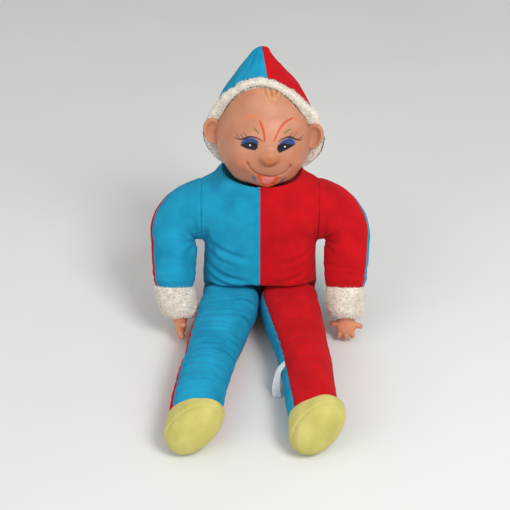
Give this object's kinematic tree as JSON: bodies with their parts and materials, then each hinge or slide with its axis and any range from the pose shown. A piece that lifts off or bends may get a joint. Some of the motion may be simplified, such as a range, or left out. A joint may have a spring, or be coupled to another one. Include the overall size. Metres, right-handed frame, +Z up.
{
  "type": "clown doll",
  "caption": "Seated stuffed cloth clown doll in a two-colour harlequin suit with a pointed hood, a moulded face and hands, plush cuffs and soft shoes; head, arms, hands and legs turn.",
  "frame": {"origin": "middle of the seated doll's outline on the floor", "axes": "+X to the doll's left, +Y to its back, +Z up; the face looks along -Y"},
  "size_m": [0.3066, 0.426, 0.3804],
  "materials": {
    "blue_cloth": "matt brushed knit",
    "red_cloth": "matt brushed knit",
    "plush": "short soft pile",
    "yellow_felt": "soft brushed felt",
    "vinyl": "smooth satin, painted",
    "wadding": "loose fibre",
    "ribbon": "smooth woven ribbon"
  },
  "bodies": {
    "torso": {"torso_front_right": "blue_cloth", "torso_front_left": "red_cloth", "torso_back_right": "red_cloth", "torso_back_left": "blue_cloth", "torso_stuffing": "wadding"},
    "neck": {"neck_stem": "red_cloth"},
    "head": {"face_mask": "vinyl", "hood_right": "blue_cloth", "hood_left": "red_cloth", "hood_trim": "plush", "head_stuffing": "wadding"},
    "right_arm": {"right_arm_front": "blue_cloth", "right_arm_back": "red_cloth", "right_cuff": "plush", "right_arm_stuffing": "wadding"},
    "right_hand": {"right_hand": "vinyl"},
    "right_leg": {"right_leg_front": "blue_cloth", "right_leg_back": "red_cloth", "right_leg_stuffing": "wadding", "right_shoe_upper": "yellow_felt", "right_shoe_sole": "yellow_felt", "right_shoe_stuffing": "wadding"},
    "left_arm": {"left_arm_front": "red_cloth", "left_arm_back": "blue_cloth", "left_cuff": "plush", "left_arm_stuffing": "wadding"},
    "left_hand": {"left_hand": "vinyl"},
    "left_leg": {"left_leg_front": "red_cloth", "left_leg_back": "blue_cloth", "left_leg_stuffing": "wadding", "left_shoe_upper": "yellow_felt", "left_shoe_sole": "yellow_felt", "left_shoe_stuffing": "wadding", "sewn_label": "ribbon"}
  },
  "joints": [
    {"name": "head_turn", "type": "hinge", "parent": "torso", "child": "neck", "pos_m": [0.005, 0.14267, 0.26898], "axis": [0, 0.2079, 0.9781], "range_deg": [-50, 50]},
    {"name": "head_nod", "type": "hinge", "parent": "neck", "child": "head", "pos_m": [0.005, 0.14267, 0.26898], "axis": [1, 0, 0], "range_deg": [-10, 10]},
    {"name": "right_shoulder", "type": "hinge", "parent": "torso", "child": "right_arm", "pos_m": [-0.0843, 0.12019, 0.16325], "axis": [-1, 0, 0], "range_deg": [-75, 115]},
    {"name": "right_wrist", "type": "hinge", "parent": "right_arm", "child": "right_hand", "pos_m": [-0.1128, 0.0367, 0.03468], "axis": [0, -0.5446, -0.8387], "range_deg": [-60, 60]},
    {"name": "right_hip", "type": "hinge", "parent": "torso", "child": "right_leg", "pos_m": [-0.042, 0.05749, 0.0355], "axis": [-1, 0, 0], "range_deg": [-80, 18]},
    {"name": "left_shoulder", "type": "hinge", "parent": "torso", "child": "left_arm", "pos_m": [0.0843, 0.12019, 0.16325], "axis": [-1, 0, 0], "range_deg": [-75, 115]},
    {"name": "left_wrist", "type": "hinge", "parent": "left_arm", "child": "left_hand", "pos_m": [0.1218, 0.0367, 0.03468], "axis": [0, -0.5446, -0.8387], "range_deg": [-60, 60]},
    {"name": "left_hip", "type": "hinge", "parent": "torso", "child": "left_leg", "pos_m": [0.042, 0.05749, 0.0355], "axis": [-1, 0, 0], "range_deg": [-80, 18]}
  ]
}
